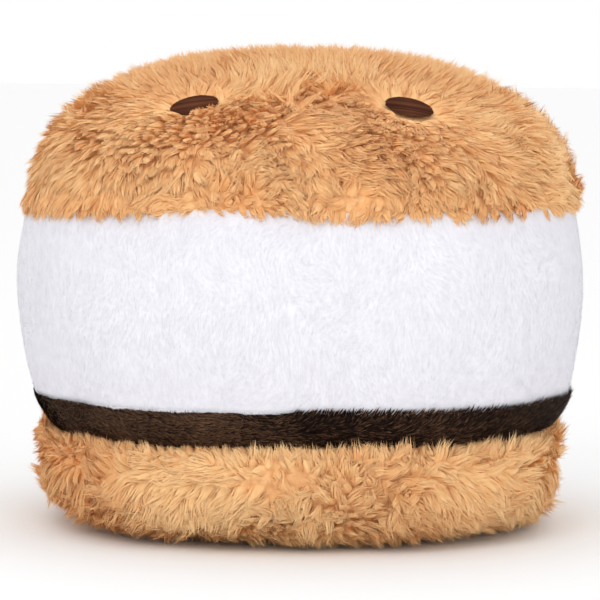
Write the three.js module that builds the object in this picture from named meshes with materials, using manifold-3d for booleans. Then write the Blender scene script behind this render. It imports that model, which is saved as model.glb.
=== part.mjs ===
// A stuffed plush toy of a s'more: two fluffy crackers with a white marshmallow band and a thin chocolate
// band sewn between them, and four satin-stitched docking holes sunk in the top cracker's pile.
// Millimetres, +Z up. The origin is the middle of the flattened underside that the toy rests on.
// The crackers are solid out to the mean height of their fur tips, the bands out to their short nap.
import * as THREE from "three";
import { mergeVertices } from "three/addons/utils/BufferGeometryUtils.js";
import Module from "manifold-3d";

// Driving dimensions
const BELLY_HALF_WIDTH = 95.2; // the marshmallow at its widest, the half-width of the whole toy
const SEAM_Z = { cracker: 34.5, chocolate: 46.5, marshmallow: 110 }; // the top of each of those layers
const CROWN_Z = 161; // mean fur tips at the middle of the top

// Half-widths at the sewn seams, as shares of the belly
const SEAM_HALF_WIDTH = {
  crackerToChocolate: 0.872 * BELLY_HALF_WIDTH,
  chocolateToMarshmallow: 0.943 * BELLY_HALF_WIDTH,
  marshmallowToCracker: 0.966 * BELLY_HALF_WIDTH,
};
const MARSHMALLOW_BULGE = 0.0455 * BELLY_HALF_WIDTH; // how far the band swells between its seams
const CHOCOLATE_BULGE = 0.01 * BELLY_HALF_WIDTH;

// The two crackers: their widest ring, and the flat spot below
const TOP_EQUATOR = { halfWidth: 0.973 * BELLY_HALF_WIDTH, z: SEAM_Z.marshmallow + 3 };
const BASE_EQUATOR = { halfWidth: 0.948 * BELLY_HALF_WIDTH, z: 27 };
const FLAT_SPOT_HALF_WIDTH = 0.66 * BELLY_HALF_WIDTH;
const DOME_ROUNDNESS = 2.25; // superellipse exponent of the dome seen from the side
const BASE_ROUNDNESS = 2.35; // the same for the underside

// Plan outline: a superellipse, squarish where the panels meet and rounder towards the crown and below
const EDGE_SQUARENESS = 2.5;
const CROWN_SQUARENESS = 2.2;
const FLAT_SPOT_SQUARENESS = 2.15;

// Sewn by hand from slack cloth, no ring is quite regular: shares of its half-width
const LEAN = { share: 0.007, phase: 0.8, twistPerMm: 0.02 }; // two swellings a turn, drifting with height
const PUCKER = { share: 0.004, phase: 2.1 }; // four a turn

// Docking holes
const HOLE_X = 36.5;
const HOLE_Y = 56;
const STITCH_RADIUS = 8;
const STITCH_THICKNESS = 1.4;
const STITCH_DOMING = 0.4; // how much higher a patch is at its middle than at its rim
const STITCH_BEVEL = 0.3;
const HOLLOW_DEPTH = 9; // below the fur tips, down to the cloth
const HOLLOW_FLOOR_RADIUS = 8.8;
const HOLLOW_RIM_RADIUS = 25;
const REST_GAP = 0.3; // between a patch and the floor of its hollow

// The slope of a hollow from its floor, 0, to its rim, 1, as shares of its width and its depth
const HOLLOW_SLOPE = [[0.3, 0.18], [0.6, 0.52], [1, 1]];

// Facets
const AROUND = 60;
const DOME_RINGS = 14;
const UNDERSIDE_RINGS = 9;
const MARSHMALLOW_RINGS = 8;
const CHOCOLATE_RINGS = 3;
const SHOULDER_RINGS = 4;
const HOLLOW_FACETS = 24;

// Working accuracy
const HALVINGS = 50; // of a span, until its ends are the same number
const SLOPE_SPAN = 2; // mm across which the slope of the dome is taken
const MERGE_WITHIN = 1e-3; // mm

const wasm = await Module();
wasm.setup();

const mix = (a, b, t) => a + (b - a) * t;

// A ring of a layer: its half-width across the flats, its height and its plan exponent.
const ring = (halfWidth, z, squareness = EDGE_SQUARENESS) => ({ halfWidth, z, squareness });

// How far a superellipse outline of half-width 1 lies from the middle in a given direction.
function outline(angle, squareness) {
  const c = Math.abs(Math.cos(angle)) ** squareness;
  const s = Math.abs(Math.sin(angle)) ** squareness;
  return (c + s) ** (-1 / squareness);
}

// How far slack cloth swells or draws in, at an angle and a height. Opposite sides do the same.
function unevenness(angle, z) {
  const lean = LEAN.share * Math.sin(2 * angle + LEAN.phase + LEAN.twistPerMm * z);
  return 1 + lean + PUCKER.share * Math.sin(4 * angle + PUCKER.phase);
}

// A closed layer from its rings, which run from the axis below, out and round, to the axis above.
function layerGeometry(rings) {
  const profile = rings.map((r) => new THREE.Vector2(r.halfWidth, r.z));
  const geometry = new THREE.LatheGeometry(profile, AROUND);
  const place = geometry.getAttribute("position");
  for (let i = 0; i < place.count; i++) {
    const { halfWidth, z, squareness } = rings[i % rings.length];
    const angle = (2 * Math.PI * Math.floor(i / rings.length)) / AROUND;
    const reach = halfWidth * outline(angle, squareness) * unevenness(angle, z);
    place.setXYZ(i, reach * Math.cos(angle), reach * Math.sin(angle), z);
  }
  return geometry;
}

// A superellipse quarter from the widest ring to the axis or to another ring, t from 0 to 1.
function quarter(t, roundness) {
  const angle = (t * Math.PI) / 2;
  return {
    out: Math.cos(angle) ** (2 / roundness),
    up: Math.sin(angle) ** (2 / roundness),
  };
}

const steps = (count) => Array.from({ length: count }, (_, i) => (i + 1) / count);

// A flat disc of rings between the axis and a seam, where two layers are sewn together.
const seamDisc = (halfWidth, z) => [ring(0, z), ring(halfWidth / 2, z), ring(halfWidth, z)];

// The side of a fabric band between its two seams.
function bandSide(count, lower, upper, lowerZ, upperZ, bulge) {
  return steps(count).map((t) =>
    ring(mix(lower, upper, t) + bulge * 4 * t * (1 - t), mix(lowerZ, upperZ, t)),
  );
}

// The dome of the top cracker: t is 0 at its widest ring and 1 at the crown.
function domeRing(t) {
  const { out, up } = quarter(t, DOME_ROUNDNESS);
  const z = mix(TOP_EQUATOR.z, CROWN_Z, up);
  return ring(TOP_EQUATOR.halfWidth * out, z, mix(CROWN_SQUARENESS, EDGE_SQUARENESS, out));
}

// Height of the dome above a point in plan, by halving the span of t that holds it.
function domeHeight(x, y) {
  const angle = Math.atan2(y, x);
  const reach = Math.hypot(x, y);
  let low = 0;
  let high = 1;
  for (let i = 0; i < HALVINGS; i++) {
    const t = (low + high) / 2;
    const { halfWidth, squareness } = domeRing(t);
    if (halfWidth * outline(angle, squareness) > reach) low = t;
    else high = t;
  }
  return domeRing(low).z;
}

function domeNormal(x, y) {
  const half = SLOPE_SPAN / 2;
  const slopeX = (domeHeight(x + half, y) - domeHeight(x - half, y)) / SLOPE_SPAN;
  const slopeY = (domeHeight(x, y + half) - domeHeight(x, y - half)) / SLOPE_SPAN;
  return new THREE.Vector3(-slopeX, -slopeY, 1).normalize();
}

// Places a shape that was made around +Z at a docking hole, lowered into the pile by the given depth.
function atHole(object, x, y, depth) {
  const normal = domeNormal(x, y);
  object.position.set(x, y, domeHeight(x, y)).addScaledVector(normal, -depth);
  object.quaternion.setFromUnitVectors(new THREE.Vector3(0, 0, 1), normal);
  object.updateMatrix();
  return object;
}

// A turned shape around +Z from (radius, height) pairs. LatheGeometry turns about +Y.
function turned(pairs, around) {
  const points = pairs.map(([r, z]) => new THREE.Vector2(r, z));
  return new THREE.LatheGeometry(points, around).rotateX(Math.PI / 2);
}

function toSolid(geometry, matrix = new THREE.Matrix4()) {
  const bare = new THREE.BufferGeometry()
    .setAttribute("position", geometry.getAttribute("position").clone())
    .setIndex(geometry.getIndex().clone())
    .applyMatrix4(matrix);
  const merged = mergeVertices(bare, MERGE_WITHIN);
  return new wasm.Manifold(
    new wasm.Mesh({
      numProp: 3,
      vertProperties: merged.getAttribute("position").array,
      triVerts: new Uint32Array(merged.getIndex().array),
    }),
  );
}

function toGeometry(solid) {
  const mesh = solid.getMesh();
  return new THREE.BufferGeometry()
    .setAttribute("position", new THREE.BufferAttribute(mesh.vertProperties, mesh.numProp))
    .setIndex(new THREE.BufferAttribute(mesh.triVerts, 1));
}

const holes = [
  ["docking_hole_front_left", -HOLE_X, -HOLE_Y],
  ["docking_hole_front_right", HOLE_X, -HOLE_Y],
  ["docking_hole_back_left", -HOLE_X, HOLE_Y],
  ["docking_hole_back_right", HOLE_X, HOLE_Y],
];

const FUR = new THREE.MeshStandardMaterial({ color: 0xdba26b, roughness: 0.95, metalness: 0 });
const WHITE_NAP = new THREE.MeshStandardMaterial({ color: 0xf3f2f7, roughness: 0.9, metalness: 0 });
const BROWN_NAP = new THREE.MeshStandardMaterial({ color: 0x35231a, roughness: 0.85, metalness: 0 });
const THREAD = new THREE.MeshStandardMaterial({ color: 0x4e2b20, roughness: 0.5, metalness: 0 });

function named(name, geometry, material) {
  const mesh = new THREE.Mesh(geometry, material);
  mesh.name = name;
  return mesh;
}

// Bottom cracker: a flat spot below, a rounded underside, and a shoulder that turns in to the seam.
function crackerBottom() {
  const { halfWidth: wide, z: equator } = BASE_EQUATOR;
  const seam = SEAM_HALF_WIDTH.crackerToChocolate;
  const underside = steps(UNDERSIDE_RINGS)
    .reverse()
    .map((t) => quarter(t, BASE_ROUNDNESS))
    .map(({ out, up }) => {
      const squareness = mix(FLAT_SPOT_SQUARENESS, EDGE_SQUARENESS, out);
      return ring(mix(FLAT_SPOT_HALF_WIDTH, wide, out), equator * (1 - up), squareness);
    });
  const shoulder = [0, ...steps(SHOULDER_RINGS)]
    .map((t) => quarter(t, 2))
    .map(({ out, up }) => ring(mix(seam, wide, out), mix(equator, SEAM_Z.cracker, up)));
  const middle = [ring(0, 0), ring(FLAT_SPOT_HALF_WIDTH / 2, 0, FLAT_SPOT_SQUARENESS)];
  const rings = [...middle, ...underside, ...shoulder];
  rings.push(...seamDisc(seam, SEAM_Z.cracker).reverse().slice(1));
  return named("cracker_bottom", layerGeometry(rings), FUR);
}

function band(name, material, count, lower, upper, lowerZ, upperZ, bulge) {
  const rings = [
    ...seamDisc(lower, lowerZ),
    ...bandSide(count, lower, upper, lowerZ, upperZ, bulge),
    ...seamDisc(upper, upperZ).reverse().slice(1),
  ];
  return named(name, layerGeometry(rings), material);
}

// Top cracker: a flat sewn face below, a lip that swells over the seam, a dome, and four hollows in it.
function crackerTop() {
  const seam = SEAM_HALF_WIDTH.marshmallowToCracker;
  const { halfWidth: wide, z: equator } = TOP_EQUATOR;
  const lip = steps(SHOULDER_RINGS)
    .map((t) => quarter(1 - t, 2))
    .map(({ out, up }) => ring(mix(seam, wide, out), mix(equator, SEAM_Z.marshmallow, up)));
  const dome = steps(DOME_RINGS).map(domeRing);
  dome[DOME_RINGS - 1].halfWidth = 0; // the crown is exactly on the axis
  const rings = [...seamDisc(seam, SEAM_Z.marshmallow), ...lip, ...dome];
  const hollow = turned(
    [
      [0, 0],
      [HOLLOW_FLOOR_RADIUS, 0],
      ...HOLLOW_SLOPE.map(([out, up]) => [
        mix(HOLLOW_FLOOR_RADIUS, HOLLOW_RIM_RADIUS, out),
        up * HOLLOW_DEPTH,
      ]),
      [HOLLOW_RIM_RADIUS, 2 * HOLLOW_DEPTH],
      [0, 2 * HOLLOW_DEPTH],
    ],
    HOLLOW_FACETS,
  );
  let solid = toSolid(layerGeometry(rings));
  for (const [, x, y] of holes) {
    const tool = atHole(new THREE.Object3D(), x, y, HOLLOW_DEPTH);
    solid = solid.subtract(toSolid(hollow, tool.matrix));
  }
  return named("cracker_top", toGeometry(solid), FUR);
}

// A satin-stitched patch: a thin round pad, slightly domed, resting on the floor of its hollow.
function stitchedPatch(name, x, y) {
  const pad = turned(
    [
      [0, 0],
      [STITCH_RADIUS - STITCH_BEVEL, 0],
      [STITCH_RADIUS, STITCH_BEVEL],
      [STITCH_RADIUS, STITCH_THICKNESS - STITCH_DOMING - STITCH_BEVEL],
      [STITCH_RADIUS - STITCH_BEVEL, STITCH_THICKNESS - STITCH_DOMING],
      [STITCH_RADIUS / 2, STITCH_THICKNESS - STITCH_DOMING / 4],
      [0, STITCH_THICKNESS],
    ],
    HOLLOW_FACETS,
  );
  return atHole(named(name, pad, THREAD), x, y, HOLLOW_DEPTH - REST_GAP);
}

const { crackerToChocolate, chocolateToMarshmallow, marshmallowToCracker } = SEAM_HALF_WIDTH;
const smore = new THREE.Group();
smore.add(
  crackerBottom(),
  band("chocolate", BROWN_NAP, CHOCOLATE_RINGS, crackerToChocolate, chocolateToMarshmallow,
    SEAM_Z.cracker, SEAM_Z.chocolate, CHOCOLATE_BULGE),
  band("marshmallow", WHITE_NAP, MARSHMALLOW_RINGS, chocolateToMarshmallow, marshmallowToCracker,
    SEAM_Z.chocolate, SEAM_Z.marshmallow, MARSHMALLOW_BULGE),
  crackerTop(),
  ...holes.map(([name, x, y]) => stitchedPatch(name, x, y)),
);

export default smore;
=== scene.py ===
import math

import bpy
import numpy as np
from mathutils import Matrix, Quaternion, Vector


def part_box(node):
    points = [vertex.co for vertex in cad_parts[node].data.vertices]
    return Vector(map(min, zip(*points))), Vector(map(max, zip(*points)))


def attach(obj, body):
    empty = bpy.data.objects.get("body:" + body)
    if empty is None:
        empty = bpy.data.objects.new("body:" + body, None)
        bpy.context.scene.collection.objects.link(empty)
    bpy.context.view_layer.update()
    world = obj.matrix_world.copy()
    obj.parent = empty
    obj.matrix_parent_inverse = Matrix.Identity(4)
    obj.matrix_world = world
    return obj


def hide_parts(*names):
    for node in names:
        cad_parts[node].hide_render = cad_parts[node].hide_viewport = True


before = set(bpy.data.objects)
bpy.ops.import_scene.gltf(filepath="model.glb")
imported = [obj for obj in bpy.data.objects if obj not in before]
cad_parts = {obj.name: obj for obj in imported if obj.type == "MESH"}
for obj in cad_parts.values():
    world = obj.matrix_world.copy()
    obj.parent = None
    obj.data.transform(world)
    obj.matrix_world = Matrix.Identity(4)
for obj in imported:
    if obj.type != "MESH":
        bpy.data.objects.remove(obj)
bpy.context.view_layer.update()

MM = 0.001
SEED = 20

# ---------------------------------------------------------------- sizes shared with the CAD solids
SEAM_Z = [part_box(node)[1][2] for node in ("cracker_bottom", "chocolate", "marshmallow")]
CROWN_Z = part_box("cracker_top")[1][2]
BELLY = 95.2 * MM  # the half-width that the others are shares of
SEAM_HALF = [0.872 * BELLY, 0.943 * BELLY, 0.966 * BELLY]
BELLY_BULGE = 0.0455 * BELLY
CHOCOLATE_BULGE = 0.01 * BELLY
TOP_WIDE = (0.973 * BELLY, SEAM_Z[2] + 3 * MM)  # half-width and height of a cracker's widest ring
BASE_WIDE = (0.948 * BELLY, 27 * MM)
FLAT_SPOT = 0.66 * BELLY
# Roundness is the superellipse exponent of a side view, and square that of the plan. A circle's is 2.
CIRCLE = 2
DOME_ROUNDNESS = 2.25
BASE_ROUNDNESS = 2.35
EDGE_SQUARE = 2.5
CROWN_SQUARE = 2.2
FLAT_SPOT_SQUARE = 2.15
# The slight unevenness of sewing: the plan leans to one side, and puckers.
LEAN_SHARE, LEAN_PHASE, LEAN_TWIST = 0.007, 0.8, 0.02 / MM
PUCKER_SHARE, PUCKER_PHASE = 0.004, 2.1

# ---------------------------------------------------------------- pile
FUR_DEPTH = 9.0 * MM  # from the cloth to the mean fur tips
SEAM_PILE = 0.3  # what is left of that depth at a seam, as a share
SEAM_FADE = 12 * MM  # how far from its seam the fur reaches its full depth
UNDER_FADE = 0.6  # where the fur starts to deepen on the underside, as a share of the flat spot
UNDERCOAT = 0.6  # how deep the closed undercoat lies, as a share of the depth down to the cloth
TUFT_SPACING = 2.85 * MM
NAP_DEPTH = 0.4 * MM
SEAM_TUCK = 3 * MM  # how far each cloth turns inwards under its neighbour at a seam


def unit(v):
    return v / np.maximum(np.linalg.norm(v, axis=-1, keepdims=True), 1e-12)


def across(v, n):
    """The part of v that is at right angles to the unit vector n."""
    return v - n * (v * n).sum(-1, keepdims=True)


def smoothstep(low, high, x):
    t = np.clip((x - low) / (high - low), 0, 1)
    return t * t * (3 - 2 * t)


class Waves:
    """Smooth noise of mean 0 and spread 1 with features of about the given size, one value per channel."""

    def __init__(self, rng, size, channels=1, waves=18):
        way = unit(rng.normal(size=(channels, waves, 3)))
        self.k = way * (2 * np.pi / size) * rng.uniform(0.65, 1.35, (channels, waves, 1))
        self.phase = rng.uniform(0, 2 * np.pi, (channels, waves))

    def __call__(self, p):
        scale = math.sqrt(2 / self.phase.shape[1])
        each = [np.sin(p @ k.T + phase).sum(-1) * scale for k, phase in zip(self.k, self.phase)]
        return np.stack(each, -1)


rng = np.random.default_rng(SEED)
FLOW_WIDE = Waves(rng, 70 * MM, 3)
FLOW_FINE = Waves(rng, 26 * MM, 3)
FLOW_SMALL = Waves(rng, 12 * MM, 3)
STANDING = Waves(rng, 34 * MM)
TONE_WIDE = Waves(rng, 40 * MM)
DENTS = Waves(rng, 45 * MM)
BRUSH = Waves(rng, 30 * MM, 3)
BRUSH_FINE = Waves(rng, 9 * MM, 3)

# ---------------------------------------------------------------- layers
LIP_RINGS, DOME_RINGS = 9, 60
UNDER_RINGS, RIM_RINGS = 40, 16
BAND_RINGS = 40
POINT = 0.001 * MM  # the half-width of a ring that stands for a point
DENT_DEPTH = 0.35 * MM
STEP_UP, STEP_ROUND = 0.4 * MM, 0.004  # short steps that measure the skin's slope
ROW_PITCH = 0.87  # of staggered rows, as a share of the spacing in a row
PLAN_LONGER = 1.04  # the length of a superellipse plan, as a share of the circle's


def quarter(count, roundness):
    angle = np.linspace(0, np.pi / 2, count)
    return np.cos(angle) ** (2 / roundness), np.sin(angle) ** (2 / roundness)


class Layer:
    """The outside of one layer of the toy: rings of half-width, height and plan exponent, from below up. A
    place on it is s, the length up the side from its first ring, and an angle round the toy."""

    def __init__(self, half, z, square, relief=None):
        self.half, self.z, self.square = np.array(half), np.array(z), np.array(square)
        self.along = np.concatenate([[0], np.cumsum(np.hypot(np.diff(self.half), np.diff(self.z)))])
        self.length = self.along[-1]
        self.relief = relief

    def place(self, s, angle):
        half = np.interp(s, self.along, self.half)
        z = np.interp(s, self.along, self.z)
        square = np.interp(s, self.along, self.square)
        reach = (np.abs(np.cos(angle)) ** square + np.abs(np.sin(angle)) ** square) ** (-1 / square)
        lean = LEAN_SHARE * np.sin(2 * angle + LEAN_PHASE + LEAN_TWIST * z)
        reach = reach * half * (1 + lean + PUCKER_SHARE * np.sin(4 * angle + PUCKER_PHASE))
        return np.stack([reach * np.cos(angle), reach * np.sin(angle), z], -1)

    def at(self, s, angle, depth):
        """Points and outward normals of a surface that lies this deep below the layer's outside."""
        low, high = np.clip(s - STEP_UP, 0, self.length), np.clip(s + STEP_UP, 0, self.length)
        up = self.place(high, angle) - self.place(low, angle)
        sideways = self.place(s, angle + STEP_ROUND) - self.place(s, angle - STEP_ROUND)
        normal = unit(np.cross(sideways, up))
        p = self.place(s, angle)
        if self.relief is not None:
            depth = depth - self.relief(p)
        return p - normal * np.asarray(depth)[..., None], normal

    def scatter(self, rng, spacing, start, stop, depth, jitter):
        """Evenly spread points in staggered rows. Returns s, point and normal of each."""
        s_all, a_all = [], []
        rows = max(int(round((stop - start) / (spacing * ROW_PITCH))), 1)
        for row in range(rows):
            s = start + (row + 0.5) * (stop - start) / rows
            around = 2 * np.pi * np.interp(s, self.along, self.half) * PLAN_LONGER
            count = max(int(round(around / spacing)), 3)
            a = (np.arange(count) + rng.uniform()) / count * 2 * np.pi
            a_all.append(a + rng.uniform(-jitter, jitter, count) * 2 * np.pi / count)
            s_all.append(s + rng.uniform(-jitter, jitter, count) * spacing * ROW_PITCH)
        s, a = np.clip(np.concatenate(s_all), start, stop), np.concatenate(a_all)
        deep = depth(s) if callable(depth) else np.broadcast_to(depth, s.shape)
        p, n = self.at(s, a, deep)
        return s, p, n


def top_layer():
    out, up = quarter(LIP_RINGS, CIRCLE)
    half = list(SEAM_HALF[2] + (TOP_WIDE[0] - SEAM_HALF[2]) * out[::-1])
    z = list(TOP_WIDE[1] + (SEAM_Z[2] - TOP_WIDE[1]) * up[::-1])
    square = [EDGE_SQUARE] * len(half)
    out, up = quarter(DOME_RINGS, DOME_ROUNDNESS)
    half += list(TOP_WIDE[0] * out)[1:]
    z += list(TOP_WIDE[1] + (CROWN_Z - TOP_WIDE[1]) * up)[1:]
    square += list(CROWN_SQUARE + (EDGE_SQUARE - CROWN_SQUARE) * out)[1:]
    return Layer(half, z, square)


def base_layer():
    out, up = quarter(UNDER_RINGS, BASE_ROUNDNESS)
    half = [POINT] + list(FLAT_SPOT + (BASE_WIDE[0] - FLAT_SPOT) * out[::-1])
    z = [0] + list(BASE_WIDE[1] * (1 - up[::-1]))
    square = [FLAT_SPOT_SQUARE] + list(FLAT_SPOT_SQUARE + (EDGE_SQUARE - FLAT_SPOT_SQUARE) * out[::-1])
    out, up = quarter(RIM_RINGS, CIRCLE)
    half += list(SEAM_HALF[0] + (BASE_WIDE[0] - SEAM_HALF[0]) * out)[1:]
    z += list(BASE_WIDE[1] + (SEAM_Z[0] - BASE_WIDE[1]) * up)[1:]
    square += [EDGE_SQUARE] * (len(half) - len(square))
    return Layer(half, z, square)


def band_relief(p):
    return DENT_DEPTH * DENTS(p)[..., 0]


def band_layer(low, bulge):
    """The band between seam number low and the one above it."""
    t = np.linspace(0, 1, BAND_RINGS)
    half = SEAM_HALF[low] + (SEAM_HALF[low + 1] - SEAM_HALF[low]) * t + bulge * 4 * t * (1 - t)
    z = SEAM_Z[low] + (SEAM_Z[low + 1] - SEAM_Z[low]) * t
    return Layer(half, z, [EDGE_SQUARE] * len(t), band_relief)


TOP, BASE = top_layer(), base_layer()
MARSHMALLOW, CHOCOLATE = band_layer(1, BELLY_BULGE), band_layer(0, CHOCOLATE_BULGE)


def top_depth(s):
    """How deep the cloth lies below the mean fur tips: at its seam it meets the band below."""
    return FUR_DEPTH * (SEAM_PILE + (1 - SEAM_PILE) * smoothstep(0, SEAM_FADE, s))


def base_depth(s):
    under = smoothstep(UNDER_FADE * FLAT_SPOT, FLAT_SPOT, s)
    near_seam = smoothstep(BASE.length - SEAM_FADE, BASE.length, s)
    return FUR_DEPTH * under * (1 - (1 - SEAM_PILE) * near_seam)


# ---------------------------------------------------------------- meshes
FRONT_RISE, FRONT_OUTWARDS = 0.25, 0.3  # turn a ribbon's front up, and out from the skin
FULLEST, FULLNESS = 0.8, 0.5  # exponents that shape a ribbon's width along it
TONE_EDGE = 0.004  # how much a ribbon's edges differ in tone from its middle line


def mesh_object(name, points, faces, material, uv=None):
    """A mesh from points and faces that all have the same number of corners. uv is one row per point."""
    points, faces = np.asarray(points, np.float32), np.asarray(faces, np.int32)
    mesh = bpy.data.meshes.new(name)
    corners = faces.shape[1]
    mesh.vertices.add(len(points))
    mesh.vertices.foreach_set("co", points.ravel())
    mesh.loops.add(faces.size)
    mesh.loops.foreach_set("vertex_index", faces.ravel())
    mesh.polygons.add(len(faces))
    mesh.polygons.foreach_set("loop_start", np.arange(len(faces), dtype=np.int32) * corners)
    if uv is not None:
        layer = mesh.uv_layers.new(name="OFBake", do_init=False)
        layer.uv.foreach_set("vector", np.asarray(uv, np.float32)[faces.ravel()].ravel())
    mesh.update(calc_edges=True)
    mesh.polygons.foreach_set("use_smooth", np.full(len(faces), True))
    mesh.validate()
    mesh.materials.append(material)
    piece = bpy.data.objects.new(name, mesh)
    bpy.context.collection.objects.link(piece)
    return piece


def skin_object(name, layer, depth, rows, around, material):
    """The skin of a layer, as one sheet of quads. depth(s, p) is how far it lies below the layer's outside.
    Where it ends at a seam it turns inwards under its neighbour."""
    s = np.linspace(0, layer.length, rows)
    a = np.arange(around) / around * 2 * np.pi
    grid_s, grid_a = np.meshgrid(s, a, indexing="ij")
    points, _ = layer.at(grid_s, grid_a, depth(grid_s, layer.place(grid_s, grid_a)))
    inwards = np.array([1 - SEAM_TUCK / BELLY, 1 - SEAM_TUCK / BELLY, 1])
    if layer.half[0] > SEAM_TUCK:
        points = np.concatenate([points[:1] * inwards - [0, 0, SEAM_TUCK], points])
    if layer.half[-1] > SEAM_TUCK:
        points = np.concatenate([points, points[-1:] * inwards + [0, 0, SEAM_TUCK]])
    i, j = np.meshgrid(np.arange(len(points) - 1), np.arange(around), indexing="ij")
    right = (j + 1) % around
    low, high = i * around, (i + 1) * around
    faces = np.stack([low + j, low + right, high + right, high + j], -1)
    return mesh_object(name, points.reshape(-1, 3), faces.reshape(-1, 4), material)


def ribbon_faces(inner):
    """The triangles of one ribbon. Its points are its two tips, then its left and its right edge."""
    faces = [(0, 2 + inner, 2)]
    for i in range(inner - 1):
        a, b, c, d = 2 + i, 2 + inner + i, 3 + inner + i, 3 + i
        faces += [(a, b, c), (a, c, d)]
    faces.append((1, 1 + inner, 1 + 2 * inner))
    return np.array(faces)


def ribbons(name, path, side, width, tone, material, soft_normal, softness):
    """Narrow tapering ribbons, pointed at both ends. path is (strands, stations, 3), side the way each is
    wide, width its full width at its middle and tone its place on the colour ramp, from 0 to 1. A pile this
    fine shades as one soft surface, so each ribbon's normals lean towards soft_normal, by softness. Its front
    is the face that is seen from beside the toy."""
    count, stations = path.shape[:2]
    inner = stations - 2
    share = np.linspace(0, 1, stations)[1:-1]
    soft_normal = np.broadcast_to(soft_normal, path.shape)
    along = np.gradient(path, axis=1)
    middle = stations // 2
    front = unit(path[:, middle] * [1, 1, 0]) + [0, 0, FRONT_RISE] + FRONT_OUTWARDS * soft_normal[:, middle]
    facing = (np.cross(side, along[:, middle]) * front).sum(-1)
    side = side * np.where(facing < 0, -1, 1)[:, None]
    bulge = np.sin(np.pi * share ** FULLEST) ** FULLNESS
    half = side[:, None] * (0.5 * width[:, None] * bulge)[..., None]
    left, right = path[:, 1:-1] - half, path[:, 1:-1] + half
    points = np.concatenate([path[:, :1], path[:, -1:], left, right], 1)
    size = points.shape[1]
    faces = np.arange(count)[:, None, None] * size + ribbon_faces(inner)[None]
    u = np.empty((count, size))
    u[:, :2] = tone[:, None]
    u[:, 2:2 + inner] = tone[:, None] - TONE_EDGE
    u[:, 2 + inner:] = tone[:, None] + TONE_EDGE
    v = np.broadcast_to(np.concatenate([[0, 1], share, share]), u.shape)
    uv = np.stack([np.clip(u, 0.002, 0.998), v], -1)
    piece = mesh_object(name, points.reshape(-1, 3), faces.reshape(-1, 3), material, uv.reshape(-1, 2))
    own = unit(np.cross(side[:, None], along))
    leaning = softness * smoothstep(0, 0.5, (own * soft_normal).sum(-1, keepdims=True))
    normal = unit(own * (1 - leaning) + soft_normal * leaning)
    normal = np.concatenate([normal[:, :1], normal[:, -1:], normal[:, 1:-1], normal[:, 1:-1]], 1)
    piece.data.normals_split_custom_set_from_vertices(normal.reshape(-1, 3))
    return piece


# ---------------------------------------------------------------- materials
STREAKS_ACROSS = 70  # across the whole range of tones
STREAKS_ALONG = 2
NOISE_LOW, NOISE_HIGH = 0.25, 0.75  # nearly all of the noise lies between them


def srgb(r, g, b):
    """A colour given as 0 to 255 in sRGB, as linear RGBA."""
    values = [x / 255 for x in (r, g, b)]
    return tuple(x / 12.92 if x <= 0.04045 else ((x + 0.055) / 1.055) ** 2.4 for x in values) + (1,)


def new_material(name, **sockets):
    material = bpy.data.materials.new(name)
    material.use_nodes = True
    shader = material.node_tree.nodes["Principled BSDF"]
    for socket, value in sockets.items():
        shader.inputs[socket.replace("_", " ")].default_value = value
    return material, material.node_tree, shader


def ramp(tree, stops):
    node = tree.nodes.new("ShaderNodeValToRGB")
    elements = node.color_ramp.elements
    while len(elements) < len(stops):
        elements.new(0.5)
    for element, (position, colour) in zip(elements, stops):
        element.position = position
        element.color = colour
    return node


def pile_material(name, dark, light, streaks, **sockets):
    """A fibre's colour from its UV map: v runs from root to tip, and u from the dark to the light ramp.
    streaks is how far fine noise along u moves it, as narrow streaks that run from root to tip."""
    material, tree, shader = new_material(name, **sockets)
    uv = tree.nodes.new("ShaderNodeUVMap")
    uv.uv_map = "OFBake"
    parts = tree.nodes.new("ShaderNodeSeparateXYZ")
    squeeze = tree.nodes.new("ShaderNodeMapping")
    squeeze.inputs["Scale"].default_value = (STREAKS_ACROSS, STREAKS_ALONG, 1)
    noise = tree.nodes.new("ShaderNodeTexNoise")
    noise.noise_dimensions = "2D"
    noise.inputs["Scale"].default_value = 1
    noise.inputs["Detail"].default_value = 1
    shift = tree.nodes.new("ShaderNodeMapRange")
    shift.inputs["From Min"].default_value = NOISE_LOW
    shift.inputs["From Max"].default_value = NOISE_HIGH
    shift.inputs["To Min"].default_value = -streaks
    shift.inputs["To Max"].default_value = streaks
    total = tree.nodes.new("ShaderNodeMath")
    total.use_clamp = True
    mix = tree.nodes.new("ShaderNodeMix")
    mix.data_type = "RGBA"
    tree.links.new(uv.outputs["UV"], parts.inputs[0])
    tree.links.new(uv.outputs["UV"], squeeze.inputs["Vector"])
    tree.links.new(squeeze.outputs["Vector"], noise.inputs["Vector"])
    tree.links.new(noise.outputs["Fac"], shift.inputs["Value"])
    tree.links.new(parts.outputs["X"], total.inputs[0])
    tree.links.new(shift.outputs["Result"], total.inputs[1])
    tree.links.new(total.outputs["Value"], mix.inputs["Factor"])
    for stops, socket in ((dark, "A"), (light, "B")):
        colours = ramp(tree, stops)
        tree.links.new(parts.outputs["Y"], colours.inputs["Fac"])
        target = [x for x in mix.inputs if x.name == socket and x.type == "RGBA"][0]
        tree.links.new(colours.outputs["Color"], target)
    result = [x for x in mix.outputs if x.type == "RGBA"][0]
    tree.links.new(result, shader.inputs["Base Color"])
    return material


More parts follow.
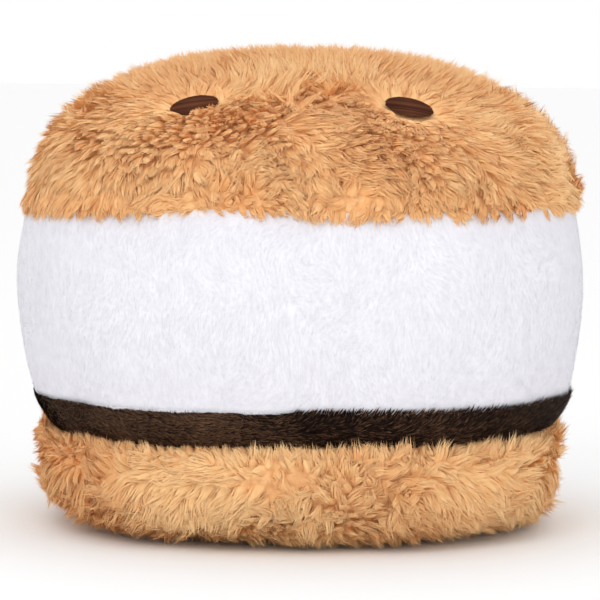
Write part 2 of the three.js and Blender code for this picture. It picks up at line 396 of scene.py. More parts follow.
def mottled_material(name, low, high, scale, bump, **sockets):
    """The skin under a pile: two colours mottled by noise, with a fine bump."""
    material, tree, shader = new_material(name, **sockets)
    place = tree.nodes.new("ShaderNodeTexCoord")
    noise = tree.nodes.new("ShaderNodeTexNoise")
    noise.inputs["Scale"].default_value = scale
    noise.inputs["Detail"].default_value = 4
    colours = ramp(tree, [(0.35, low), (0.65, high)])
    relief = tree.nodes.new("ShaderNodeBump")
    relief.inputs["Strength"].default_value = bump
    relief.inputs["Distance"].default_value = 0.5 * MM
    tree.links.new(place.outputs["Object"], noise.inputs["Vector"])
    tree.links.new(noise.outputs["Fac"], colours.inputs["Fac"])
    tree.links.new(noise.outputs["Fac"], relief.inputs["Height"])
    tree.links.new(colours.outputs["Color"], shader.inputs["Base Color"])
    tree.links.new(relief.outputs["Normal"], shader.inputs["Normal"])
    return material


FUR = pile_material(
    "tan_fur",
    [(0.0, srgb(248, 188, 126)), (0.45, srgb(240, 178, 117)), (1.0, srgb(236, 180, 124))],
    [(0.0, srgb(255, 210, 150)), (0.4, srgb(255, 211, 153)), (1.0, srgb(255, 219, 165))],
    0.4,
    Roughness=0.9,
    Specular_IOR_Level=0.1,
    Sheen_Weight=0.15,
    Sheen_Roughness=0.5,
    Sheen_Tint=(1.0, 0.86, 0.7, 1.0),
)
WHITE = pile_material(
    "white_nap",
    [(0.0, srgb(229, 228, 233)), (0.5, srgb(229, 228, 233)), (1.0, srgb(230, 229, 234))],
    [(0.0, srgb(235, 234, 239)), (0.5, srgb(235, 234, 239)), (1.0, srgb(236, 235, 240))],
    0,
    Roughness=0.9,
    Specular_IOR_Level=0.2,
)
BROWN = pile_material(
    "brown_nap",
    [(0.0, srgb(8, 2, 1)), (0.6, srgb(20, 8, 4)), (1.0, srgb(30, 14, 8))],
    [(0.0, srgb(42, 24, 15)), (0.6, srgb(94, 67, 49)), (1.0, srgb(134, 103, 79))],
    0,
    Roughness=0.75,
    Specular_IOR_Level=0.1,
)
# The tan skin shows as undercoat between the tufts, so it has the fur's middle tone.
FUR_CLOTH = mottled_material(
    "tan_cloth", srgb(222, 165, 110), srgb(250, 202, 146), scale=420, bump=0.6, Roughness=0.95)
WHITE_CLOTH = mottled_material(
    "white_cloth", srgb(229, 228, 234), srgb(236, 235, 241), scale=250, bump=0.1, Roughness=0.9)
BROWN_CLOTH = mottled_material(
    "brown_cloth", srgb(26, 15, 9), srgb(44, 28, 19), scale=400, bump=0.3, Roughness=0.9)
THREAD = pile_material(
    "brown_thread",
    [(0.0, srgb(42, 14, 5)), (0.5, srgb(54, 22, 9)), (1.0, srgb(46, 17, 7))],
    [(0.0, srgb(94, 51, 30)), (0.5, srgb(110, 64, 41)), (1.0, srgb(96, 53, 32))],
    0,
    Roughness=0.75,
    Specular_IOR_Level=0.1,
)

# ---------------------------------------------------------------- the stitched docking holes
THREADS = 36
THREAD_STATIONS = 9
THREAD_SIDES = 4
THREAD_HALF_WIDE, THREAD_HIGH = 0.56, 0.55  # as shares of the rows' pitch
THREAD_ENDS = (-0.25, 0.15)  # how far a thread's ends reach past the outline, in mm
THREAD_SWAY = 0.12  # how far an end lies off its row, in mm
THREAD_LIFT = 0.06  # how far a thread lies above or below its neighbours, in mm
ROW_TONE, END_TONE = 0.16, 0.15  # spread of tone from row to row, and between a row's ends
STITCH_TURN = math.radians(8)
PATCH_RIM = 0.15  # the patch's thickness at its rim, as a share of that at its middle
PATCH_FALL = 1.02  # where its domed top comes down to the rim, as a share of its radius squared


class Hole:
    """The frame of a patch, from its CAD solid: centre, outward normal, half-thickness and radius."""

    def __init__(self, node):
        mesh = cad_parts[node].data
        points = np.empty(len(mesh.vertices) * 3)
        mesh.vertices.foreach_get("co", points)
        points = points.reshape(-1, 3)
        centre = (points.max(0) + points.min(0)) / 2
        _, _, axes = np.linalg.svd(points - points.mean(0), full_matrices=False)
        self.normal = axes[2] * np.sign(axes[2][2])
        heights = (points - centre) @ self.normal
        self.centre = centre + self.normal * (heights.max() + heights.min()) / 2
        self.half_thick = np.ptp(heights) / 2
        self.radius = np.linalg.norm(np.cross(points - self.centre, self.normal), axis=1).max()

    def ways(self):
        """The way its rows of stitches run, and the way across them."""
        along = unit(np.cross([0, 1, 0], self.normal))
        along = unit(across(along, self.normal))
        up = np.cross(self.normal, along)
        turn = STITCH_TURN * (1 if self.centre[0] > 0 else -1)
        return along * math.cos(turn) + up * math.sin(turn), up * math.cos(turn) - along * math.sin(turn)


HOLE_NODES = [f"docking_hole_{end}_{side}" for end in ("front", "back") for side in ("left", "right")]
HOLES = {node: Hole(node) for node in HOLE_NODES}
HOLE_CENTRES = np.array([hole.centre for hole in HOLES.values()])
HOLE_RADIUS = HOLES[HOLE_NODES[0]].radius


def stitched_patch(node, rng):
    """Rows of satin stitch over a low pad: each thread is a half-round ridge that dives in at its ends."""
    hole = HOLES[node]
    along, up = hole.ways()
    radius = hole.radius
    pitch = 2 * radius / THREADS
    points, faces, uv = [], [], []
    tone = 0.5
    for row in range(THREADS):
        tone = 0.5 + (tone - 0.5) * 0.5 + rng.normal(0, ROW_TONE)
        tone_ends = tone + rng.normal(0, END_TONE, 2)
        y = -radius + (row + 0.5) * pitch
        half_chord = math.sqrt(radius * radius - y * y) + rng.uniform(*THREAD_ENDS) * MM
        y_ends = rng.uniform(-THREAD_SWAY, THREAD_SWAY, 2) * MM
        lift = rng.uniform(-THREAD_LIFT, THREAD_LIFT) * MM
        start = len(points)
        for i in range(THREAD_STATIONS):
            t = -math.cos(math.pi * i / (THREAD_STATIONS - 1))
            x = t * half_chord
            round_off = 1 - (x * x + y * y) / (radius * radius * PATCH_FALL)
            top = hole.half_thick * (PATCH_RIM + (1 - PATCH_RIM) * max(round_off, 0) ** 0.5) + lift
            sway = y_ends[0] + (y_ends[1] - y_ends[0]) * (t + 1) / 2
            for j in range(THREAD_SIDES + 1):
                bend = math.pi * j / THREAD_SIDES
                dy = math.cos(bend) * pitch * THREAD_HALF_WIDE
                dz = (math.sin(bend) - 1) * pitch * THREAD_HIGH
                points.append(hole.centre + along * x + up * (y + sway + dy) + hole.normal * (top + dz))
                uv.append((np.clip(np.interp(t, [-1, 1], tone_ends), 0.01, 0.99), (t + 1) / 2))
        for i in range(THREAD_STATIONS - 1):
            for j in range(THREAD_SIDES):
                a = start + i * (THREAD_SIDES + 1) + j
                faces.append((a, a + 1, a + THREAD_SIDES + 2, a + THREAD_SIDES + 1))
    return mesh_object(node.replace("docking_hole", "stitched_hole"), points, faces, THREAD, uv)


# ---------------------------------------------------------------- how the fur lies
# The fur grows in tufts. A tuft is a ridged, pointed brush of fibres that bends over towards its tip, and
# loose hairs lie along it and reach past its tip. The fur is combed outwards, and smooth noise leads it
# astray. A tuft's lean is a pair of angles from the skin's normal, at its root and at its tip.
OUTWARD = 0.7
ASTRAY_WIDE, ASTRAY_FINE, ASTRAY_SMALL, ASTRAY_EACH = 0.55, 0.5, 0.38, 0.22
LEAN = np.array([0.38, 1.2])
LEAN_BY_PATCH = np.array([0.12, 0.22])
LEAN_BY_TUFT = 0.12
LEAN_LEAST, LEAN_MOST = 0.05, 1.5
UNCOMBED, COMBED = 0.1, 0.8  # lengths of the flow that count as none and as full
UNCOMBED_LEAN = 0.55  # the share of its lean that a tuft keeps where there is no flow
STAND_MOST = 1.3
STAND_LONGER = 0.06
TUFT_JITTER = 0.42
TUFT_LONG = (0.88, 1.1)
LOPSIDED = 0.06  # how much longer the fur is at the far right than in the middle, as a share
OVERHANG = 2.5 * MM  # how far the tips of straight tufts would reach past the mean depth

# Sleek fur strays less and is less frizzy. The top cracker's left side is sleek.
SLEEK_ASTRAY = 0.5
SLEEK_LEAN = 0.5
LEFT_FROM, LEFT_FULL = -25 * MM, -65 * MM
LEFT_LEAN = np.array([0.04, 0.08])
LEFT_LONGER = 0.16
# On the front of the crown the fur is half as sleek. It stands up and is combed back there, and its tone is
# darkened there as painted shade.
CROWN_FROM, CROWN_FULL = 0.89, 0.975  # heights of the skin's normal
CROWN_BACK, CROWN_FRONT = 35 * MM, 10 * MM
CROWN_SLEEK = 0.5
CROWN_COMBED_BACK = 1.7
CROWN_UPRIGHT = 0.36
CROWN_SLIMMER = 0.14
CROWN_PAINTED_SHADE = 0.28

# Round a stitched hole the fur parts. Over the outer rims of the left-hand holes it stands up.
PART_REACH = 13 * MM
PART_MARGIN = 0.2 * MM
PART_COMBED, PART_AWAY, PART_ASTRAY = 0.7, 1.1, 0.25
PART_LEAN = np.array([0.85, 1.3])
PART_SHORTER = 0.25
PART_SUNK = 0.9 * MM
OUTSIDE_FROM, OUTSIDE_FULL = -0.1, 0.6  # how squarely a tuft lies outside its hole
RIM_SIDE = 5 * MM
RIM_STANDS = np.array([0.3, 0.25])
DIP_FULL, DIP_END = 5 * MM, 20 * MM  # from a hole's rim: how far the undercoat goes down to the cloth

# Near the seams. The base's distances are measured down from its seam.
TOP_RISE, TOP_RISE_SEAM, TOP_SEAM = -0.55, -0.5, (3 * MM, 12 * MM)
BASE_RISE, BASE_RISE_SEAM, BASE_SEAM = -0.55, 1.3, (22 * MM, 4 * MM)
LIP_HANG, LIP_HANG_LEFT, LIP, LIP_LEFT = 0.6 * MM, 1.6 * MM, (4 * MM, 12 * MM), (-80 * MM, -30 * MM)
RIM_SHORTER, RIM = 1.1 * MM, (12 * MM, 4 * MM)
BASE_START = 0.92 * FLAT_SPOT


def from_holes(p):
    """For each of the points: the way out from the nearest stitched hole, and the distance to its centre."""
    away = p[:, None] - HOLE_CENTRES[None]
    gap = np.linalg.norm(away, axis=-1)
    nearest = gap.argmin(1)
    row = np.arange(len(p))
    return unit(away[row, nearest]), gap[row, nearest]


def top_skin_depth(s, p):
    """The undercoat's depth on the top cracker: it goes down to the cloth at the stitched holes."""
    gap = from_holes(p.reshape(-1, 3))[1].reshape(s.shape)
    near = 1 - smoothstep(HOLE_RADIUS + DIP_FULL, HOLE_RADIUS + DIP_END, gap)
    return top_depth(s) * (UNDERCOAT + (1 - UNDERCOAT) * near)


def base_skin_depth(s, p):
    return base_depth(s) * UNDERCOAT


def band_skin_depth(s, p):
    return np.full(s.shape, NAP_DEPTH)


def top_rise(s):
    """How far up the fur is combed: everywhere down, and most so at the seam."""
    return TOP_RISE + TOP_RISE_SEAM * (1 - smoothstep(*TOP_SEAM, s))


def base_rise(s):
    """Down, but up against the band at the seam."""
    near_seam = smoothstep(BASE.length - BASE_SEAM[0], BASE.length - BASE_SEAM[1], s)
    return BASE_RISE + BASE_RISE_SEAM * near_seam


def top_overhang(s, p):
    """More where the fur hangs over the band below."""
    near_seam = 1 - smoothstep(*LIP, s)
    left = 1 - smoothstep(*LIP_LEFT, p[:, 0])
    return OVERHANG + near_seam * (LIP_HANG + LIP_HANG_LEFT * left)


def base_overhang(s, p):
    return OVERHANG - RIM_SHORTER * smoothstep(BASE.length - RIM[0], BASE.length - RIM[1], s)


def top_tone(s, p):
    """The fur's tone from 0 to 1: darker at the lower lip."""
    return 0.5 - 0.3 * (1 - smoothstep(2 * MM, 16 * MM, s))


def base_tone(s, p):
    """Lighter in the middle, as painted light on its front, and darker at the left."""
    middle = np.exp(-((p[:, 0] + 2 * MM) / (32 * MM)) ** 2)
    left = 1 - smoothstep(-60 * MM, -30 * MM, p[:, 0])
    return 0.5 + 0.35 * middle - 0.35 * left


def on_left(p):
    """1 at the top cracker's far left, down to 0 towards its middle."""
    return smoothstep(LEFT_FROM, LEFT_FULL, p[:, 0]) * (p[:, 2] > SEAM_Z[1])


def on_crown(p, n):
    """1 where the skin faces up in the front half, as on the crown, down to 0 around it."""
    return smoothstep(CROWN_FROM, CROWN_FULL, n[:, 2]) * smoothstep(CROWN_BACK, CROWN_FRONT, p[:, 1])


def comb(rng, p, n, rise, crown, sleek):
    """The way each tuft is combed along the skin. The longer it is, the more clearly."""
    flow = unit(p * [1, 1, 0]) * OUTWARD + np.array([0, 0, 1]) * rise[:, None]
    flow = unit(across(flow, n))
    astray = FLOW_WIDE(p) * ASTRAY_WIDE + FLOW_FINE(p) * ASTRAY_FINE + FLOW_SMALL(p) * ASTRAY_SMALL
    astray = astray + rng.normal(0, ASTRAY_EACH, p.shape)
    astray = astray * (1 - SLEEK_ASTRAY * sleek)[:, None]
    astray = astray + crown[:, None] * [0, CROWN_COMBED_BACK, 0]
    return flow + across(astray, n)


def bend_over(rng, flow, stand, right, left, crown, sleek):
    """Each tuft's lean at its root and tip."""
    clear = smoothstep(UNCOMBED, COMBED, np.linalg.norm(flow, axis=-1, keepdims=True))
    lean = LEAN + LEAN_BY_PATCH * stand[:, None]
    lean = lean + rng.normal(0, LEAN_BY_TUFT, lean.shape) * (1 - SLEEK_LEAN * sleek)[:, None]
    lean = lean * (1 - LOPSIDED * right)[:, None] * (UNCOMBED_LEAN + (1 - UNCOMBED_LEAN) * clear)
    return (lean + left[:, None] * LEFT_LEAN) * (1 - CROWN_UPRIGHT * crown)[:, None]


def part_fur(rng, p, flow, lean):
    """Flow and lean where the fur parts round the stitched holes. Also how near each tuft is to a hole, and
    how much it belongs to a rim over which the fur stands up, both from 0 to 1."""
    away, gap = from_holes(p)
    near = np.exp(-(np.maximum(gap - HOLE_RADIUS, 0) / PART_REACH) ** 2)[:, None]
    flow = unit(flow) * (1 - PART_COMBED * near) + away * near * PART_AWAY
    flow = flow + near * rng.normal(0, PART_ASTRAY, p.shape)
    outside = smoothstep(OUTSIDE_FROM, OUTSIDE_FULL, away[:, 1:2] * np.sign(p[:, 1:2]))
    rim = outside * smoothstep(RIM_SIDE, -RIM_SIDE, p[:, :1])
    lean = lean * (1 - near) + near * (PART_LEAN - rim * RIM_STANDS)
    return flow, lean, near, rim


# ---------------------------------------------------------------- tufts and hairs
CURVE_STEPS = 24
CURVE_REACH = 1.2  # a tuft's curve runs on past its tip by this share of its length
CURVE_BEND = 0.8  # exponent of the bend along it: below 1, most of it is near the root
SWIRL, SWIRL_BEND = 0.45, 1.5
SLOPE_STEP = 0.05  # a short step along the curve, which measures its slope
SIDE_TILT = 0.2
BODY_RINGS = np.array([0.05, 0.38, 0.64])
BODY_PROFILE = np.array([1.0, 1.0, 0.64])
BODY_END = 0.84
BODY_SIDES = 5
BODY_FLATNESS = 0.5
BODY_RADIUS = (1.3, 1.9)  # as shares of half the spacing
BODY_TALL, BODY_SLIMMEST = 9 * MM, 0.8  # shorter tufts are slimmer, down to this share
RIDGE_SPREAD = 0.12
STREAK_SPREAD = 0.12
TONE_BY_PATCH, TONE_BY_TUFT = 0.14, 0.1
FUR_SOFTNESS = 0.8
SOFT_FROM, SOFT_FULL = -0.1, 0.6  # how squarely a side of a body faces out from the skin
UPRIGHT_FROM, UPRIGHT_FULL = 0.35, 0.8  # cosines of the lean at a tuft's tip
HAIR_STATIONS = np.array([0.3, 0.72, 1.1])
HAIRS_PER_TUFT = 17
HAIR_LONG = (0.88, 1.04)
HAIR_WIDTH = (0.24, 0.38)  # in mm
HAIR_ROOT, HAIR_TIP = (0.9, 1.12), (0.2, 0.95)  # distance from the tuft's middle line, in its radii
HAIR_CLOSES = (0.45, 1.1)  # where along the tuft the distance goes from one to the other
HAIR_ASTRAY, HAIR_GATHERS = 0.45, 1.3  # turn round the tuft, and the share of its length where it ends
HAIR_TONE = 0.1
FRIZZ = 0.25 * MM
SLEEK_SHORTER, SLEEK_FRIZZ = 0.08, 0.6
WISPS_PER_TUFT = 5
WISP_TURN, WISP_TURN_UPRIGHT = 0.7, 0.55  # angle from wisp to wisp round the tuft, and more if it is upright
WISP_TONE = 0.08
FLOOR_PILE = (0.1, 1.4)  # how high pressed pile lies over the table, in mm


def basis(normal, flow):
    flow = unit(across(flow, normal))
    return flow, np.cross(normal, flow)


def tuft_curves(rng, n, t, b, lean, length):
    """The middle line of each tuft from its root, for shares 0 to CURVE_REACH of its length."""
    v = np.linspace(0, CURVE_REACH, CURVE_STEPS)[None]
    angle = lean[:, :1] + (lean[:, 1:] - lean[:, :1]) * v ** CURVE_BEND
    swirl = rng.normal(0, SWIRL, (len(n), 1)) * v ** SWIRL_BEND
    sideways = t[:, None] * np.cos(swirl)[..., None] + b[:, None] * np.sin(swirl)[..., None]
    step = n[:, None] * np.cos(angle)[..., None] + sideways * np.sin(angle)[..., None]
    middle = (step[:, 1:] + step[:, :-1]) / 2 * (CURVE_REACH / (CURVE_STEPS - 1))
    curve = np.concatenate([np.zeros((len(n), 1, 3)), np.cumsum(middle, 1)], 1)
    return curve * length[:, None, None]


def along_curve(curve, share):
    """Points on each curve at the given shares of the tuft's length, (curves, shares, 3)."""
    place = np.clip(share / CURVE_REACH, 0, 1) * (CURVE_STEPS - 1)
    low = np.minimum(place.astype(int), CURVE_STEPS - 2)
    part = (place - low)[..., None]
    row = np.arange(len(curve))[:, None]
    return curve[row, low] * (1 - part) + curve[row, low + 1] * part


def grow_tufts(rng, layer, depth_of, overhang_of, rise_of, tone_of, start=0.0, holes=False):
    """Roots, directions, curves, radii and tones of the tufts on a layer, from start up its side. A tuft is
    as long as the cloth is deep plus its overhang. Where the layer has stitched holes, the fur parts."""
    s, p, n = layer.scatter(rng, TUFT_SPACING, start, layer.length, depth_of, TUFT_JITTER)
    if holes:
        keep = from_holes(p)[1] > HOLE_RADIUS - PART_MARGIN
        s, p, n = s[keep], p[keep], n[keep]
    left, crown = on_left(p), on_crown(p, n)
    sleek = np.maximum(left, CROWN_SLEEK * crown)
    stand = np.clip(STANDING(p)[:, 0], -STAND_MOST, STAND_MOST)
    right = p[:, 0] / BELLY
    flow = comb(rng, p, n, rise_of(s), crown, sleek)
    lean = bend_over(rng, flow, stand, right, left, crown, sleek)
    near = rim = np.zeros((len(p), 1))
    if holes:
        flow, lean, near, rim = part_fur(rng, p, flow, lean)
    lean = np.clip(lean, LEAN_LEAST, LEAN_MOST)
    t, b = basis(n, flow)
    length = (depth_of(s) + overhang_of(s, p)) * rng.uniform(*TUFT_LONG, len(p))
    length *= (1 + STAND_LONGER * stand) * (1 + LOPSIDED * right) * (1 + LEFT_LONGER * left)
    length *= 1 - PART_SHORTER * near[:, 0]
    p = p - n * near * (1 - rim) * PART_SUNK
    curve = tuft_curves(rng, n, t, b, lean, length)
    radius = 0.5 * TUFT_SPACING * rng.uniform(*BODY_RADIUS, len(p))
    radius *= np.clip(length / BODY_TALL, BODY_SLIMMEST, 1) * (1 - CROWN_SLIMMER * crown)
    # The crown's tone is lowered by painted shade.
    tone = tone_of(s, p) - CROWN_PAINTED_SHADE * crown + TONE_BY_PATCH * TONE_WIDE(p)[:, 0]
    tone = np.clip(tone + rng.normal(0, TONE_BY_TUFT, len(p)), 0.1, 0.9)
    upright = smoothstep(UPRIGHT_FROM, UPRIGHT_FULL, np.cos(lean[:, 1]))
    return {"p": p, "n": n, "b": b, "curve": curve, "radius": radius, "tone": tone, "upright": upright,
            "sleek": sleek}


def tuft_rings(tufts, share):
    """Centre, side way and outer way of each tuft's cross-sections at these shares, (tufts, shares, 3)."""
    curve = tufts["curve"]
    centre = tufts["p"][:, None] + along_curve(curve, share)
    ahead = unit(along_curve(curve, share + SLOPE_STEP) - along_curve(curve, share - SLOPE_STEP))
    side = np.cross(ahead, tufts["n"][:, None]) - SIDE_TILT * tufts["b"][:, None]
    side = unit(across(side, ahead))
    return centre, side, np.cross(side, ahead)


def press_above_floor(points, rng):
    """Presses what would pass through the table up onto it."""
    low = rng.uniform(*FLOOR_PILE, (len(points),) + (1,) * (points.ndim - 2)) * MM
    points[..., 2] = np.maximum(points[..., 2], low)
    return points


def body_faces():
    """The triangles of one tuft's body. Its points are its rings in turn, then its tip."""
    faces = []
    tip = len(BODY_RINGS) * BODY_SIDES
    for ring in range(len(BODY_RINGS)):
        for j in range(BODY_SIDES):
            a, b = ring * BODY_SIDES + j, ring * BODY_SIDES + (j + 1) % BODY_SIDES
            if ring < len(BODY_RINGS) - 1:
                faces += [(a, a + BODY_SIDES, b + BODY_SIDES), (a, b + BODY_SIDES, b)]
            else:
                faces.append((a, tip, b))
    return np.array(faces)


def tuft_piece(name, tufts, rng):
    """The bodies of tufts: rings of ridged outline that taper to a tip. The open root is under the skin."""
    count, rings = len(tufts["p"]), len(BODY_RINGS)
    centre, side, outer = tuft_rings(tufts, np.broadcast_to(BODY_RINGS, (count, rings)))
    turn = np.arange(BODY_SIDES) / BODY_SIDES * 2 * np.pi
    turn = turn[None, None] + rng.uniform(0, 2 * np.pi, (count, 1, 1)) + np.zeros((count, rings, 1))
    ridge = 1 + rng.normal(0, RIDGE_SPREAD, (count, 1, BODY_SIDES))
    reach = (tufts["radius"][:, None] * BODY_PROFILE)[..., None] * ridge
    cos, sin = np.cos(turn)[..., None], np.sin(turn)[..., None]
    round_way = side[:, :, None] * cos + outer[:, :, None] * (BODY_FLATNESS * sin)
    points = centre[:, :, None] + round_way * reach[..., None]
    tip = tufts["p"][:, None] + along_curve(tufts["curve"], np.full((count, 1), BODY_END))
    points = press_above_floor(np.concatenate([points.reshape(count, -1, 3), tip], 1), rng)
    round_way, up = unit(round_way), tufts["n"][:, None, None]
    leaning = FUR_SOFTNESS * smoothstep(SOFT_FROM, SOFT_FULL, (round_way * up).sum(-1, keepdims=True))
    soft = round_way * (1 - leaning) + up * leaning
    tip_way = unit(tip[:, 0] - centre[:, -1]) + tufts["n"]
    soft = np.concatenate([soft.reshape(count, -1, 3), unit(tip_way)[:, None]], 1)
    faces = np.arange(count)[:, None, None] * points.shape[1] + body_faces()[None]
    streak = tufts["tone"][:, None, None] + rng.normal(0, STREAK_SPREAD, (count, 1, BODY_SIDES))
    u = np.concatenate([np.repeat(streak, rings, 1).reshape(count, -1), tufts["tone"][:, None]], 1)
    v = np.broadcast_to(np.append(np.repeat(BODY_RINGS, BODY_SIDES), BODY_END), u.shape)
    uv = np.stack([np.clip(u, 0.01, 0.99), v], -1)
    piece = mesh_object(name, points.reshape(-1, 3), faces.reshape(-1, 3), FUR, uv.reshape(-1, 2))
    piece.data.normals_split_custom_set_from_vertices(unit(soft).reshape(-1, 3))
    return piece


def hair_piece(name, tufts, rng):
    """Loose hairs, in wisps. They lie along the tufts' outer sides and reach past their tips."""
    count = len(tufts["p"]) * HAIRS_PER_TUFT
    own = {key: np.repeat(value, HAIRS_PER_TUFT, axis=0) for key, value in tufts.items()}
    sleek = own["sleek"][:, None]
    share = HAIR_STATIONS[None] * (rng.uniform(*HAIR_LONG, (count, 1)) * (1 - SLEEK_SHORTER * sleek))
    centre, side, outer = tuft_rings(own, share)
    wisp = rng.integers(0, WISPS_PER_TUFT, count)
    wisp_step = WISP_TURN + WISP_TURN_UPRIGHT * own["upright"]
    wisp_turn = np.pi / 2 + (wisp - (WISPS_PER_TUFT - 1) / 2) * wisp_step
    turn = wisp_turn[:, None] + rng.normal(0, HAIR_ASTRAY, (count, 1)) * (HAIR_GATHERS - share)
    root_reach, tip_reach = rng.uniform(*HAIR_ROOT, (count, 1)), rng.uniform(*HAIR_TIP, (count, 1))
    part = smoothstep(*HAIR_CLOSES, share)
    reach = own["radius"][:, None] * (root_reach * (1 - part) + tip_reach * part)
    cos, sin = np.cos(turn)[..., None], np.sin(turn)[..., None]
    round_way = side * cos + outer * BODY_FLATNESS * sin
    path = centre + round_way * reach[..., None]
    path = path + rng.normal(0, FRIZZ, path.shape) * (share ** 2 * (1 - SLEEK_FRIZZ * sleek))[..., None]
    path = press_above_floor(path, rng)
    wide_way = unit(outer * cos * BODY_FLATNESS - side * sin)[:, 1]
    width = rng.uniform(*HAIR_WIDTH, count) * MM
    wisp_tone = rng.normal(0, WISP_TONE, (len(tufts["p"]), WISPS_PER_TUFT))
    wisp_tone = wisp_tone[np.repeat(np.arange(len(tufts["p"])), HAIRS_PER_TUFT), wisp]
    tone = np.clip(own["tone"] + wisp_tone + rng.normal(0, HAIR_TONE, count), 0.01, 0.99)
    soft = unit(unit(round_way) * (1 - FUR_SOFTNESS) + own["n"][:, None] * FUR_SOFTNESS)
    return ribbons(name, path, wide_way, width, tone, FUR, soft, FUR_SOFTNESS)


# ---------------------------------------------------------------- nap
NAP_BEND = ((0, 0), (0.5, 0.85), (1, 1.0))  # shares of a fibre's length, and of its lean there
NAP_LONG, NAP_WIDE = (0.75, 1.2), (0.75, 1.25)
NAP_LEAN = (0.1, 1.52)
NAP_TWIST = 0.2
NAP_JITTER = 0.5
NAP_MARGIN = 0.3 * MM  # how far the nap stays from the seams
FRINGE_HIGH = 0.8 * MM  # how far up the white band the fringe that hangs over the brown one grows
BROWN_EDGE = (SEAM_Z[1] - 5 * MM, SEAM_Z[1] - 1 * MM)


def nap_piece(name, layer, rng, material, softness, spacing, length_of, width, flow_of, tone_of, lean_of,
              lean_spread, start, stop):
    """Short pile over a band, from start to stop up its side: pointed ribbons of two faces each."""
    _, p, n = layer.scatter(rng, spacing, start, stop, NAP_DEPTH, NAP_JITTER)
    t, _ = basis(n, flow_of(p, n))
    lean = np.clip(lean_of(p) + rng.normal(0, lean_spread, len(p)), *NAP_LEAN)
    long = length_of(p) * rng.uniform(*NAP_LONG, len(p))
    path = []
    for share, bend in NAP_BEND:
        angle = (lean * bend)[:, None]
        path.append(p + (n * np.cos(angle) + t * np.sin(angle)) * (long * share)[:, None])
    path = np.stack(path, 1)
    side = unit(np.cross(unit(path[:, 2] - path[:, 0]), n))
    twist = rng.normal(0, NAP_TWIST, (len(p), 1))
    side = unit(side * np.cos(twist) + n * np.sin(twist))
    wide = rng.uniform(*NAP_WIDE, len(p)) * width
    tone = np.clip(tone_of(p, rng), 0.01, 0.99)
    return ribbons(name, path, side, wide, tone, material, n[:, None], softness)


def white_flow(p, n):
    """Brushed down."""
    return np.array([0, 0, -1.0]) + 0.4 * BRUSH(p) + 0.15 * BRUSH_FINE(p)


def white_tone(p, rng):
    return 0.5 + 0.12 * BRUSH(p)[:, 0] + rng.normal(0, 0.02, len(p))


def white_lean(p):
    return 1.49 + 0.02 * BRUSH(p)[:, 1]


def fringe_flow(p, n):
    return np.array([0, 0, -1.0]) + 0.3 * BRUSH_FINE(p)


def fringe_length(p):
    """Shorter towards the right."""
    return (1.3 - 0.4 * smoothstep(-20 * MM, 40 * MM, p[:, 0])) * MM


def brown_flow(p, n):
    """Brushed sideways, and at the right also up, over the seam."""
    sideways = unit(np.cross([0, 0, 1], n))
    right = smoothstep(-10 * MM, 10 * MM, p[:, 0])[:, None]
    far_right = smoothstep(25 * MM, 60 * MM, p[:, 0])[:, None]
    near_top = smoothstep(*BROWN_EDGE, p[:, 2])[:, None]
    rise = 1.1 * right + 1.4 * far_right - 0.15 + 1.5 * right * near_top
    flow = sideways + np.array([0, 0, 1]) * rise + 0.3 * BRUSH(p) + 0.25 * BRUSH_FINE(p)
    flow[:, 2:] -= near_top * (1 - right) * np.maximum(flow[:, 2:], 0)
    return flow


def brown_tone(p, rng):
    """Darker and more mixed towards the right. The lighter left is painted sheen, for the nap that is brushed
    sideways there.
    """
    darker = smoothstep(-40 * MM, 15 * MM, p[:, 0])
    mixed = rng.normal(0, 0.26, len(p)) * (1 + 0.5 * darker)
    return 0.55 - 0.5 * darker + 0.12 * BRUSH(p)[:, 0] + mixed


def brown_lean(p):
    return 1.3 - 0.15 * smoothstep(-20 * MM, 20 * MM, p[:, 0]) + 0.06 * BRUSH(p)[:, 1]


# ---------------------------------------------------------------- the toy
SKINS = (
    ("cloth_top", TOP, top_skin_depth, 80, 120, FUR_CLOTH, "tan_fur", "cracker_top"),
    ("cloth_bottom", BASE, base_skin_depth, 50, 96, FUR_CLOTH, "tan_fur", "cracker_bottom"),
    ("cloth_white", MARSHMALLOW, band_skin_depth, 40, 128, WHITE_CLOTH, "white_nap", "marshmallow"),
    ("cloth_brown", CHOCOLATE, band_skin_depth, 12, 128, BROWN_CLOTH, "brown_nap", "chocolate"),
)


def fur_pieces(rng):
    """The tufts of both crackers and their hairs, which are split in two to keep each piece small."""
    top = grow_tufts(rng, TOP, top_depth, top_overhang, top_rise, top_tone, holes=True)
    base = grow_tufts(rng, BASE, base_depth, base_overhang, base_rise, base_tone, BASE_START)
    pieces = [tuft_piece("tufts_top", top, rng), tuft_piece("tufts_bottom", base, rng)]
    for end, tufts in (("top", top), ("bottom", base)):
        for first, half in enumerate("ab"):
            some = {key: value[first::2] for key, value in tufts.items()}
            pieces.append(hair_piece(f"hairs_{end}_{half}", some, rng))
    return pieces


def white_pieces(rng):
    return [
        nap_piece(
            "nap_white", MARSHMALLOW, rng, WHITE, softness=1.0, spacing=1.1 * MM,
            length_of=lambda p: 2.2 * MM, width=0.2 * MM, flow_of=white_flow, tone_of=white_tone,
            lean_of=white_lean, lean_spread=0.06, start=NAP_MARGIN, stop=MARSHMALLOW.length - NAP_MARGIN),
        nap_piece(
            "fringe_white", MARSHMALLOW, rng, WHITE, softness=1.0, spacing=0.3 * MM,
            length_of=fringe_length, width=0.24 * MM, flow_of=fringe_flow, tone_of=white_tone,
            lean_of=white_lean, lean_spread=0.08, start=0, stop=FRINGE_HIGH),
    ]


def brown_pieces(rng):
    return [
        nap_piece(
            "nap_brown", CHOCOLATE, rng, BROWN, softness=0.5, spacing=0.52 * MM,
            length_of=lambda p: 3.0 * MM, width=0.42 * MM, flow_of=brown_flow, tone_of=brown_tone,
            lean_of=brown_lean, lean_spread=0.1, start=NAP_MARGIN, stop=CHOCOLATE.length - NAP_MARGIN),
    ]


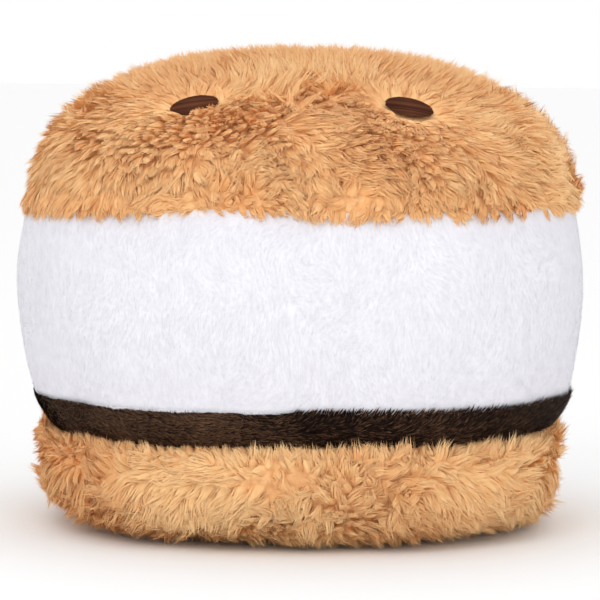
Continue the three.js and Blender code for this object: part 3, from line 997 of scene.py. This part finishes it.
def build_toy():
    pieces = []
    for name, layer, depth, rows, around, material, slot, node in SKINS:
        skin = skin_object(name, layer, depth, rows, around, material)
        pieces.append((skin, slot, [node]))
    pieces += [(stitched_patch(node, rng), "brown_thread", [node]) for node in HOLE_NODES]
    pieces += [(piece, "tan_fur", []) for piece in fur_pieces(rng)]
    pieces += [(piece, "white_nap", []) for piece in white_pieces(rng)]
    pieces += [(piece, "brown_nap", []) for piece in brown_pieces(rng)]
    for piece, slot, nodes in pieces:
        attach(piece, "root")
        if nodes:
            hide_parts(*nodes)


# ---------------------------------------------------------------- camera, floor and light
CAMERA = (0, -1200 * MM, 178 * MM)
PITCH = math.radians(4.9)
ROLL = math.radians(0.5)
FOCAL_PX = 3516
FRAME_PX = 600
SENSOR = 36
FLOOR_HALF = 6
FRONT_LIGHT = 1.13  # of the white tent, in front, behind and above
SIDE_LIGHT = 0.8
LAMPS = (  # name, place, target, size and power
    ("key", (-0.5, -1.1, 1.0), (0, 0, 0.09), 0.7, 2.5),
    ("front", (0.35, -1.3, 0.45), (0, 0, 0.08), 0.6, 2),
)


def make_camera():
    data = bpy.data.cameras.new("camera")
    data.sensor_width = SENSOR
    data.lens = FOCAL_PX / FRAME_PX * SENSOR
    data.clip_start = 0.05
    camera = bpy.data.objects.new("camera", data)
    bpy.context.collection.objects.link(camera)
    camera.location = CAMERA
    camera.rotation_mode = "QUATERNION"
    ahead = Vector((0, math.cos(PITCH), -math.sin(PITCH)))
    camera.rotation_quaternion = ahead.to_track_quat("-Z", "Y") @ Quaternion((0, 0, 1), ROLL)
    bpy.context.scene.camera = camera


def make_floor():
    material, _, _ = new_material("pale_floor", Base_Color=(0.97, 0.97, 0.97, 1), Roughness=0.9)
    corners = np.array([(-1, -1, 0), (1, -1, 0), (1, 1, 0), (-1, 1, 0)], float) * FLOOR_HALF
    mesh_object("floor", corners, [(0, 1, 2, 3)], material)


def make_tent():
    """A white light tent, weaker at the sides. The camera sees it as a plain white backdrop."""
    world = bpy.data.worlds.new("studio")
    bpy.context.scene.world = world
    world.use_nodes = True
    tree = world.node_tree
    light = tree.nodes["Background"]
    light.inputs["Color"].default_value = (1, 1, 1, 1)
    way = tree.nodes.new("ShaderNodeTexCoord")
    parts = tree.nodes.new("ShaderNodeSeparateXYZ")
    sideways = tree.nodes.new("ShaderNodeMath")
    sideways.operation = "ABSOLUTE"
    dim = tree.nodes.new("ShaderNodeMapRange")
    dim.inputs["To Min"].default_value = FRONT_LIGHT
    dim.inputs["To Max"].default_value = SIDE_LIGHT
    tree.links.new(way.outputs["Generated"], parts.inputs[0])
    tree.links.new(parts.outputs["X"], sideways.inputs[0])
    tree.links.new(sideways.outputs["Value"], dim.inputs["Value"])
    tree.links.new(dim.outputs["Result"], light.inputs["Strength"])
    backdrop = tree.nodes.new("ShaderNodeBackground")
    backdrop.inputs["Color"].default_value = (1, 1, 1, 1)
    rays = tree.nodes.new("ShaderNodeLightPath")
    mix = tree.nodes.new("ShaderNodeMixShader")
    tree.links.new(rays.outputs["Is Camera Ray"], mix.inputs["Fac"])
    tree.links.new(light.outputs["Background"], mix.inputs[1])
    tree.links.new(backdrop.outputs["Background"], mix.inputs[2])
    tree.links.new(mix.outputs["Shader"], tree.nodes["World Output"].inputs["Surface"])


def area_light(name, place, target, size, power):
    data = bpy.data.lights.new(name, "AREA")
    data.shape = "DISK"
    data.size = size
    data.energy = power
    light = bpy.data.objects.new(name, data)
    bpy.context.collection.objects.link(light)
    light.location = place
    light.rotation_mode = "QUATERNION"
    light.rotation_quaternion = (Vector(target) - Vector(place)).to_track_quat("-Z", "Y")


make_camera()
make_floor()
make_tent()
for lamp in LAMPS:
    area_light(*lamp)
bpy.context.scene.view_settings.view_transform = "Standard"
bpy.context.scene.view_settings.look = "None"
build_toy()
